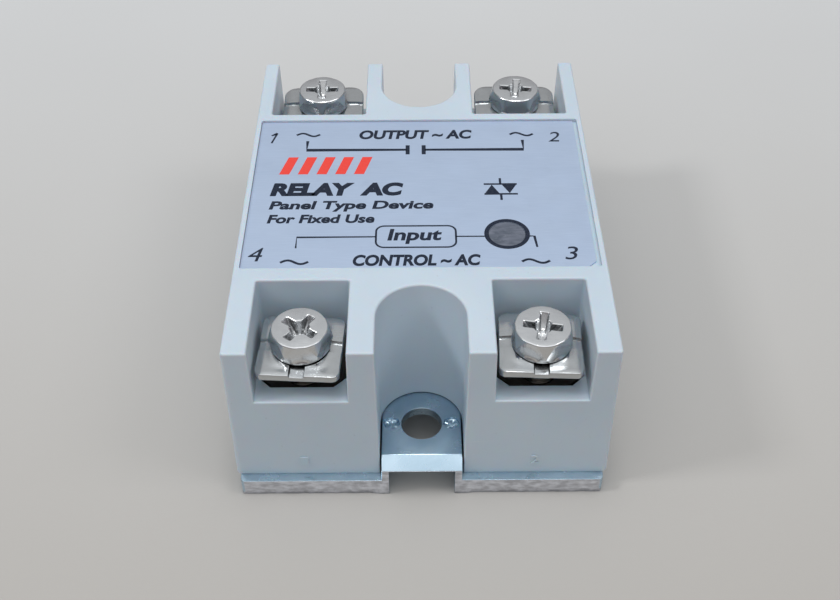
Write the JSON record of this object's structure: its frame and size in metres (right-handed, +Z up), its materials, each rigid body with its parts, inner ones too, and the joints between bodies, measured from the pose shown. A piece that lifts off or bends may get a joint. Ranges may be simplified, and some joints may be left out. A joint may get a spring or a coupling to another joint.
{
  "type": "solid state relay",
  "caption": "Panel-mount solid state relay: drafted plastic housing on a metal base plate, with screw terminals in open pockets, a foil label and an indicator window.",
  "frame": {"origin": "centre of the base plate's underside", "axes": "+Z up out of the base plate, +Y towards the output terminals, +X to the right when the input terminals face the viewer"},
  "size_m": [0.0446, 0.0606, 0.023],
  "materials": {
    "housing": "satin moulded plastic, light grey-blue",
    "base_plate": "blue-white zinc plated, with sheared ends",
    "label": "satin printed foil",
    "indicator_window": "smoky translucent plastic",
    "indicator_led": "tinted epoxy",
    "circuit_board": "glass-epoxy board with solder resist",
    "resistor": "lacquered",
    "capacitor": "moulded case",
    "chip_package": "moulded epoxy",
    "ceramic": "alumina",
    "copper": "tinned copper",
    "terminal_strip": "nickel plated",
    "clamp_washer": "nickel plated, pressed",
    "terminal_screw": "nickel plated",
    "potting": "cast epoxy, black"
  },
  "bodies": {
    "relay": {"housing": "housing", "base_plate": "base_plate", "label": "label", "indicator_window": "indicator_window", "indicator_led": "indicator_led", "circuit_board": "circuit_board", "input_resistor_1": "resistor", "input_resistor_2": "resistor", "gate_resistor": "resistor", "snubber_resistor": "resistor", "input_capacitor": "capacitor", "snubber_capacitor": "capacitor", "optocoupler": "chip_package", "bridge_rectifier": "chip_package", "insulator_pad": "ceramic", "triac_tab": "copper", "triac_body": "chip_package", "triac_main_lead_1": "copper", "triac_main_lead_2": "copper", "triac_gate_lead": "copper", "terminal_strip_1": "terminal_strip", "terminal_strip_2": "terminal_strip", "terminal_strip_3": "terminal_strip", "terminal_strip_4": "terminal_strip", "potting_compound": "potting"},
    "clamp_1": {"clamp_washer_1": "clamp_washer"},
    "clamp_2": {"clamp_washer_2": "clamp_washer"},
    "clamp_3": {"clamp_washer_3": "clamp_washer"},
    "clamp_4": {"clamp_washer_4": "clamp_washer"},
    "screw_1": {"terminal_screw_1": "terminal_screw"},
    "screw_2": {"terminal_screw_2": "terminal_screw"},
    "screw_3": {"terminal_screw_3": "terminal_screw"},
    "screw_4": {"terminal_screw_4": "terminal_screw"}
  },
  "joints": [
    {"name": "clamp_1_lift", "type": "slide", "parent": "relay", "child": "clamp_1", "axis": [0, 0, 1], "range_m": [-0.00298, 0.001]},
    {"name": "clamp_2_lift", "type": "slide", "parent": "relay", "child": "clamp_2", "axis": [0, 0, 1], "range_m": [-0.00298, 0.001]},
    {"name": "clamp_3_lift", "type": "slide", "parent": "relay", "child": "clamp_3", "axis": [0, 0, 1], "range_m": [-0.00298, 0.001]},
    {"name": "clamp_4_lift", "type": "slide", "parent": "relay", "child": "clamp_4", "axis": [0, 0, 1], "range_m": [-0.00298, 0.001]},
    {"name": "screw_1_turn", "type": "hinge", "parent": "clamp_1", "child": "screw_1", "pos_m": [-0.01365, 0.0237, 0.0194], "axis": [0, 0, 1], "range_deg": [-1540, 520]},
    {"name": "screw_2_turn", "type": "hinge", "parent": "clamp_2", "child": "screw_2", "pos_m": [0.01365, 0.0237, 0.0194], "axis": [0, 0, 1], "range_deg": [-1540, 520]},
    {"name": "screw_3_turn", "type": "hinge", "parent": "clamp_3", "child": "screw_3", "pos_m": [0.01365, -0.0237, 0.0194], "axis": [0, 0, 1], "range_deg": [-1540, 520]},
    {"name": "screw_4_turn", "type": "hinge", "parent": "clamp_4", "child": "screw_4", "pos_m": [-0.01365, -0.0237, 0.0194], "axis": [0, 0, 1], "range_deg": [-1540, 520]}
  ],
  "couplings": [
    {"joint": "screw_1_turn", "follows": "clamp_1_lift", "rad_per_m": 8976},
    {"joint": "screw_2_turn", "follows": "clamp_2_lift", "rad_per_m": 8976},
    {"joint": "screw_3_turn", "follows": "clamp_3_lift", "rad_per_m": 8976},
    {"joint": "screw_4_turn", "follows": "clamp_4_lift", "rad_per_m": 8976}
  ]
}
